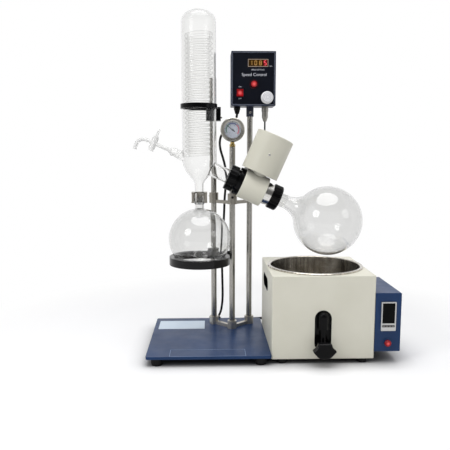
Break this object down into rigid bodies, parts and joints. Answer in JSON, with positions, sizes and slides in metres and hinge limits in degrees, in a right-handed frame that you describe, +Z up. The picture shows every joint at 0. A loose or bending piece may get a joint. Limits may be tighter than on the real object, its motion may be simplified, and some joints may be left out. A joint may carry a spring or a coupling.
{
  "type": "rotary evaporator",
  "caption": "Bench rotary evaporator: post stand with tilted drive head, glass coil condenser, flasks, vacuum gauge, speed controller and a separate heated water bath.",
  "frame": {"origin": "bottom centre of the box round the stand and the bath, without the mains cord", "axes": "+Z up from the table, +X to the right towards the bath, +Y away from the front"},
  "size_m": [0.6742, 0.4351, 0.8857],
  "materials": {
    "blue_paint": "satin navy paint",
    "cream_paint": "satin cream paint",
    "dark_navy": "satin paint",
    "panel": "matt film",
    "bright_steel": "brushed",
    "polished_steel": "polished",
    "dark_steel": "machined",
    "brass": "machined",
    "cast_alloy": "cast",
    "black_plastic": "moulded",
    "black_rubber": "matt",
    "white_plastic": "gloss",
    "red_plastic": "gloss",
    "dial_white": "matt print",
    "seal": "matt",
    "glass": "clear",
    "motor_iron": "cast",
    "cord": "matt"
  },
  "bodies": {
    "stand": {"base_plate": "blue_paint", "base_feet": "black_rubber", "front_pole": "bright_steel", "left_pole": "bright_steel", "right_pole": "bright_steel", "base_bracket": "cast_alloy", "tie_bracket": "cast_alloy", "clamp_screws": "dark_steel", "head_carrier": "cast_alloy", "gear_housing": "cream_paint", "spindle_bearings": "dark_steel", "spindle_seal": "seal", "seal_flange": "black_plastic", "condenser_nut": "black_plastic", "motor": "motor_iron", "motor_cover": "cream_paint", "condenser_jacket": "glass", "condenser_coil": "glass", "condenser_clamp": "black_plastic", "feed_tube": "glass", "joint_clip": "polished_steel", "receiving_flask": "glass", "gauge_case": "polished_steel", "gauge_dial": "dial_white", "gauge_lens": "glass", "gauge_fitting": "brass", "controller_case": "dark_navy", "controller_panel": "panel", "cord_gland": "black_plastic", "motor_connector": "dark_steel", "motor_lead": "cord", "mains_cord": "cord", "cord_coil": "cord", "mains_plug": "black_plastic"},
    "rotor": {"spindle": "bright_steel", "crown_gear": "dark_steel", "flask_hub": "bright_steel", "flask_nut": "black_plastic", "evaporating_flask": "glass", "vapour_tube": "glass"},
    "pinion": {"drive_pinion": "dark_steel"},
    "stopcock": {"stopcock_key": "glass"},
    "knob": {"speed_knob": "white_plastic"},
    "rocker": {"rocker_switch": "red_plastic"},
    "button": {"start_button": "red_plastic"},
    "needle": {"gauge_needle": "black_plastic"},
    "ring": {"receiver_ring": "black_plastic", "ring_screw": "black_plastic"},
    "bath": {"bath_case": "cream_paint", "bath_pot": "polished_steel", "bath_heater": "motor_iron", "bath_feet": "black_rubber", "side_grip": "black_plastic", "tap_recess": "black_plastic", "drain_tap": "black_plastic", "control_box": "blue_paint", "temperature_module": "black_plastic", "power_inlet": "black_plastic"},
    "tap": {"tap_handle": "black_plastic"},
    "lamp": {"bath_button": "red_plastic"}
  },
  "joints": [
    {"name": "flask_spin", "type": "hinge", "parent": "stand", "child": "rotor", "pos_m": [-0.0185, 0.0251, 0.4288], "axis": [0.9135, 0, -0.4067], "continuous": true},
    {"name": "motor_spin", "type": "hinge", "parent": "stand", "child": "pinion", "pos_m": [-0.0185, 0.0251, 0.4288], "axis": [0.4067, 0, 0.9135], "continuous": true},
    {"name": "stopcock_turn", "type": "hinge", "parent": "stand", "child": "stopcock", "pos_m": [-0.28191, 0.0251, 0.54608], "axis": [0.4067, 0, 0.9135], "continuous": true},
    {"name": "speed_turn", "type": "hinge", "parent": "stand", "child": "knob", "pos_m": [0.0241, 0.0909, 0.67147], "axis": [0, 1, 0], "range_deg": [0, 270]},
    {"name": "rocker_tilt", "type": "hinge", "parent": "stand", "child": "rocker", "pos_m": [-0.0503, 0.0899, 0.68427], "axis": [1, 0, 0], "range_deg": [0, 14]},
    {"name": "start_press", "type": "slide", "parent": "stand", "child": "button", "axis": [0, 1, 0], "range_m": [0, 0.003], "stiffness_N_per_m": 400, "springref_m": -0.002},
    {"name": "needle_turn", "type": "hinge", "parent": "stand", "child": "needle", "pos_m": [-0.0717, 0.0594, 0.583], "axis": [0, 1, 0], "range_deg": [-84, 186]},
    {"name": "ring_height", "type": "slide", "parent": "stand", "child": "ring", "axis": [0, 0, -1], "range_m": [0, 0.08]},
    {"name": "bath_slide", "type": "slide", "parent": "stand", "child": "bath", "axis": [1, 0, 0], "range_m": [0, 0.15]},
    {"name": "tap_turn", "type": "hinge", "parent": "bath", "child": "tap", "pos_m": [0.1441, -0.1581, 0.042], "axis": [0, 1, 0], "range_deg": [0, 90]},
    {"name": "bath_press", "type": "slide", "parent": "bath", "child": "lamp", "axis": [0, 1, 0], "range_m": [0, 0.003], "stiffness_N_per_m": 400, "springref_m": -0.002}
  ],
  "couplings": [
    {"joint": "motor_spin", "follows": "flask_spin", "ratio": -3}
  ]
}
